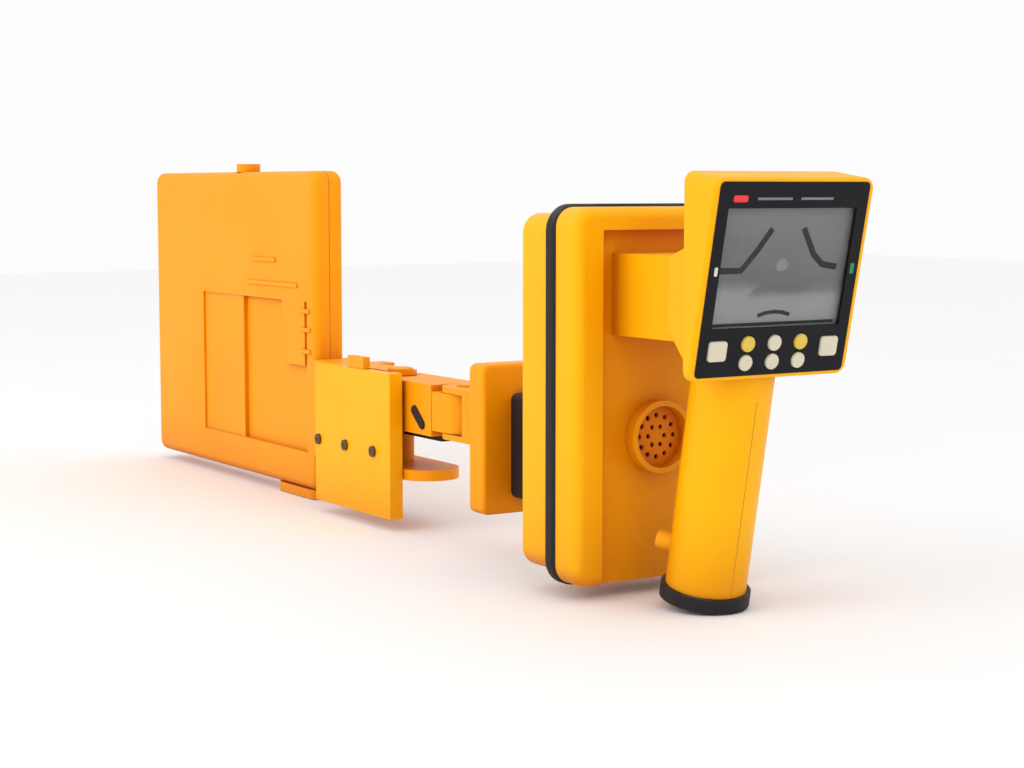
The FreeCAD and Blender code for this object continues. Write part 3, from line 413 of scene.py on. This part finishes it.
lcd = {"across": 82.4, "tall": 61.1, "line": 3.3, "rise": 0.12,
       "left": [(0.0, 0.485), (0.05, 0.474), (0.19, 0.474), (0.29, 0.63), (0.39, 0.82)],
       "right": [(0.635, 0.82), (0.74, 0.6), (0.82, 0.513), (0.94, 0.487)],
       "arc": [(0.37, 0.09), (0.43, 0.112), (0.495, 0.12), (0.56, 0.112), (0.62, 0.09)],
       "foot": [(0.02, 0.02), (0.5, 0.02), (0.98, 0.02)], "blob": (0.505, 0.513)}


def windowPoint(point):
    return ((point[0] - 0.5) * lcd["across"], (point[1] - 0.5) * lcd["tall"])


def makeTrace():
    mesh = bmesh.new()
    for key, width in (("left", 1.0), ("right", 1.0), ("arc", 0.6), ("foot", 0.5)):
        points = [windowPoint(point) for point in lcd[key]]
        ribbon(mesh, facePlace, points, lcd["line"] * width, 0.0, lcd["rise"])
    finishPiece("lcdTrace", mesh, printInk("lcdInk", (0.01, 0.007, 0.01), 0.7), "housing")
    mesh = bmesh.new()
    middle = windowPoint(lcd["blob"])
    raisePrism(mesh, facePlace, roundOutline(*middle, 7.5, 6.5, 3.2), 0.0, lcd["rise"] / 2)
    finishPiece("lcdCursor", mesh, printInk("lcdFaint", (0.2, 0.2, 0.205)), "housing")


makeTrace()

# plain marks on the bezel: ink, then across, up, length and width of each bar
bezelMarks = {"high": 3.38, "low": 3.2, "edge": 0.04, "corner": 0.3,
              "bezelRedBar": ((0.75, 0.02, 0.03), [(-34.5, 35.3, 9.0, 3.4)]),
              "bezelGreyBars": ((0.17, 0.15, 0.18), [(-13.0, 35.3, 22.0, 1.3), (14.0, 35.3, 21.0, 1.3)]),
              "bezelPaleTick": ((0.6, 0.62, 0.5), [(-43.6, -1.0, 2.0, 4.5)]),
              "bezelGreenTick": ((0.01, 0.2, 0.08), [(44.0, -1.0, 2.6, 5.5)])}


def makeBezelMarks():
    for name in ("bezelRedBar", "bezelGreyBars", "bezelPaleTick", "bezelGreenTick"):
        ink, bars = bezelMarks[name]
        mesh = bmesh.new()
        for u, v, length, width in bars:
            outline = roundOutline(u, v, length, width, min(length, width) * bezelMarks["corner"])
            raisePrism(mesh, facePlace, outline, bezelMarks["low"], bezelMarks["high"], bezelMarks["edge"])
        finishPiece(name, mesh, printInk(name + "Ink", ink), "housing")


makeBezelMarks()
print("display printed")

# ribs beside the panel: middle along the tool, height from the floor, length
ribs = {"width": 3.4, "proud": 1.3, "sunk": 2.2, "round": 0.8,
        "bars": [(207, 170.0, 42), (221, 152.5, 85), (275, 134.8, 16), (276, 121.5, 16), (276, 106.0, 16)]}


def makeRibs():
    for name, nodeName, toward in (("nearRibs", "paddle_near_shell", -1), ("farRibs", "paddle_far_shell", 1)):
        mesh = bmesh.new()
        for u, v, length in ribs["bars"]:
            raisePrism(mesh, sidePlace(nodeName, toward), roundOutline(u, v, length, ribs["width"], 1.6),
                       -ribs["sunk"], ribs["proud"], ribs["round"])
        finishPiece(name, mesh, materials["orange_shell"], "paddle")


makeRibs()

seam = {"width": 0.5, "proud": 0.06, "depth": 0.36, "corner": 9.0, "steps": 8}


def makePaddleSeam():
    # the line where the two paddle shells meet, all round their edge
    place = sidePlace("paddle_near_shell", -1)
    length = (paddleHigh.x - paddleLow.x) / mm
    tall = (paddleHigh.z - paddleLow.z) / mm
    outline = roundOutline(length / 2, paddleLow.z / mm + tall / 2, length + 2 * seam["proud"],
                           tall + 2 * seam["proud"], seam["corner"] + seam["proud"], steps=seam["steps"])
    middle = paddleLow.y / mm
    mesh = bmesh.new()
    face = mesh.faces.new([mesh.verts.new(place(u, v, middle - seam["width"] / 2)) for u, v in outline])
    face.normal_update()  # the inset works along the face, so it needs the normal first
    bmesh.ops.inset_region(mesh, faces=[face], thickness=seam["depth"] * mm, use_even_offset=True,
                           use_boundary=True)
    bmesh.ops.delete(mesh, geom=[face], context="FACES")
    made = bmesh.ops.extrude_face_region(mesh, geom=mesh.faces[:])["geom"]
    moved = [item for item in made if isinstance(item, bmesh.types.BMVert)]
    bmesh.ops.translate(mesh, verts=moved, vec=place(0, 0, seam["width"]) - place(0, 0, 0))
    finishPiece("paddleSeam", mesh, printInk("seamShade", (0.42, 0.12, 0.004)), "paddle")


makePaddleSeam()

# cross recesses, shown as dark slots on the screw heads: painted shade in place of the depth of each recess
screwMarks = {"arm": 3.6, "slot": 0.8, "corner": 0.3, "sunk": 0.2, "rise": 0.05, "angles": (45, 135)}
screwRows = (("cheek", "cheek_plate_screws", -1, (331, 370.2, 409.4), (50.3,)),
             ("paddle", "paddle_screws", 1, (20, 270.5), (26.5, 214.5)))


def makeCrosses():
    for name, nodeName, toward, along, up in screwRows:
        mesh = bmesh.new()
        for u in along:
            for v in up:
                for angle in screwMarks["angles"]:
                    outline = roundOutline(u, v, screwMarks["arm"], screwMarks["slot"],
                                           screwMarks["corner"], angle)
                    raisePrism(mesh, sidePlace(nodeName, toward), outline, -screwMarks["sunk"],
                               screwMarks["rise"])
        # near-black ink: painted shade of the cross recesses
        shade = printInk(name + "Shade", (0.012, 0.01, 0.009))
        finishPiece(name + "Recesses", mesh, shade, "paddle")


makeCrosses()

# plastic caps snapped over the two pin heads
caps = {"radius": 8.6, "height": 1.9, "overlap": 1.0, "steps": 32,
        "profile": [(0.0, 1.0), (0.55, 1.0), (0.82, 0.92), (0.95, 0.7), (1.0, 0.4), (1.0, 0.0)]}


def makePinCaps():
    for nodeName, body in (("antenna_hinge_pin", "paddle"), ("housing_hinge_pin", "housing")):
        low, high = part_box(nodeName)
        base = Vector(((low.x + high.x) / 2, (low.y + high.y) / 2, high.z - caps["overlap"] * mm))
        mesh = bmesh.new()
        line = [mesh.verts.new(base + Vector((r * caps["radius"], 0, h * caps["height"])) * mm)
                for r, h in caps["profile"]]
        edges = [mesh.edges.new(pair) for pair in zip(line, line[1:])]
        bmesh.ops.spin(mesh, geom=line + edges, cent=base, axis=(0, 0, 1), angle=math.tau,
                       steps=caps["steps"], use_merge=True)
        bmesh.ops.remove_doubles(mesh, verts=mesh.verts, dist=0.00001)
        rim = [edge for edge in mesh.edges if edge.is_boundary]
        bmesh.ops.contextual_create(mesh, geom=rim)
        finishPiece(nodeName + "Cap", mesh, materials["orange_shell"], body)


makePinCaps()

# rubber stop pad on the near side of the link
pad = {"middle": (449.0, 76.0), "length": 19.0, "width": 6.0, "corner": 2.9, "lean": -41.0, "sunk": 0.4,
       "proud": 1.6, "edge": 0.8}


def makeLinkPad():
    mesh = bmesh.new()
    outline = roundOutline(*pad["middle"], pad["length"], pad["width"], pad["corner"], pad["lean"])
    raisePrism(mesh, sidePlace("fold_link", -1), outline, -pad["sunk"], pad["proud"], pad["edge"])
    finishPiece("linkPad", mesh, materials["black_rubber"], "link")


makeLinkPad()

gripSeam = {"middle": 62.0, "length": 106.0, "width": 0.5, "corner": 0.2, "low": 21.2, "high": 21.64}


def makeGripSeams():
    # the grip is moulded in two halves that meet on the tool's middle plane
    turn = jointNamed("end_cap_turn")
    axis = Vector(turn["axis"]).normalized()
    start = Vector(turn["pos_m"])
    out = Vector((0, 1, 0)).cross(axis).normalized()
    mesh = bmesh.new()
    for side in (1, -1):
        def place(u, v, w):
            return start + axis * v * mm + Vector((0, u, 0)) * mm + out * side * w * mm
        outline = roundOutline(0, gripSeam["middle"], gripSeam["width"], gripSeam["length"],
                               gripSeam["corner"])
        raisePrism(mesh, place, outline, gripSeam["low"], gripSeam["high"])
    finishPiece("gripSeams", mesh, printInk("gripShade", (0.55, 0.2, 0.004)), "housing")


makeGripSeams()
print("details made")


# pale room: metres, watts and degrees
room = {"floorSize": 8, "floorDrop": 0.0005, "skyStrength": 0.98,
        "keyLight": {"place": (0.1, -2.1, 1.3), "target": (0.05, 0, 0.1), "size": (1.6, 1.2), "power": 13},
        "fillLight": {"place": (1.6, -0.6, 1.2), "target": (0.3, 0, 0.15), "size": (1.0, 0.8), "power": 2}}


def setStage():
    bpy.ops.mesh.primitive_plane_add(size=room["floorSize"], location=(0, 0, -room["floorDrop"]))
    floor = bpy.context.object
    floor.name = "floor"
    material, tree, shader, where = startMaterial("paleFloor")
    noise = addNode(tree, "ShaderNodeTexNoise", Scale=6.0, Detail=3.0)
    tree.links.new(where, noise.inputs["Vector"])
    tree.links.new(mixColour(tree, noise.outputs[0], (0.93, 0.93, 0.93), (0.95, 0.95, 0.95)),
                   shader.inputs["Base Color"])
    shader.inputs["Roughness"].default_value = 0.8
    dress(floor, material)
    world = bpy.data.worlds.new("studio")
    world.use_nodes = True
    world.node_tree.nodes["Background"].inputs["Color"].default_value = (1, 1, 1, 1)
    world.node_tree.nodes["Background"].inputs["Strength"].default_value = room["skyStrength"]
    bpy.context.scene.world = world


def addLight(name):
    light = room[name]
    data = bpy.data.lights.new(name, "AREA")
    data.shape = "RECTANGLE"
    data.size, data.size_y = light["size"]
    data.energy = light["power"]
    lamp = bpy.data.objects.new(name, data)
    lamp.location = light["place"]
    aim = Vector(light["target"]) - Vector(light["place"])
    lamp.rotation_euler = aim.to_track_quat("-Z", "Y").to_euler()
    bpy.context.scene.collection.objects.link(lamp)


camera = {"place": (1.1604, -0.6483, 0.2217), "pitch": -5.57, "heading": 57.72, "lens": 70.31}


def setCamera():
    data = bpy.data.cameras.new("camera")
    data.lens = camera["lens"]
    data.sensor_width = 36
    data.clip_end = 50
    obj = bpy.data.objects.new("camera", data)
    obj.location = camera["place"]
    obj.rotation_euler = (math.radians(90 + camera["pitch"]), 0, math.radians(camera["heading"]))
    bpy.context.scene.collection.objects.link(obj)
    bpy.context.scene.camera = obj


setStage()
addLight("keyLight")
addLight("fillLight")
setCamera()
print("room, lights and camera set")
bpy.context.scene.view_settings.view_transform = "Standard"
bpy.context.scene.view_settings.look = "None"
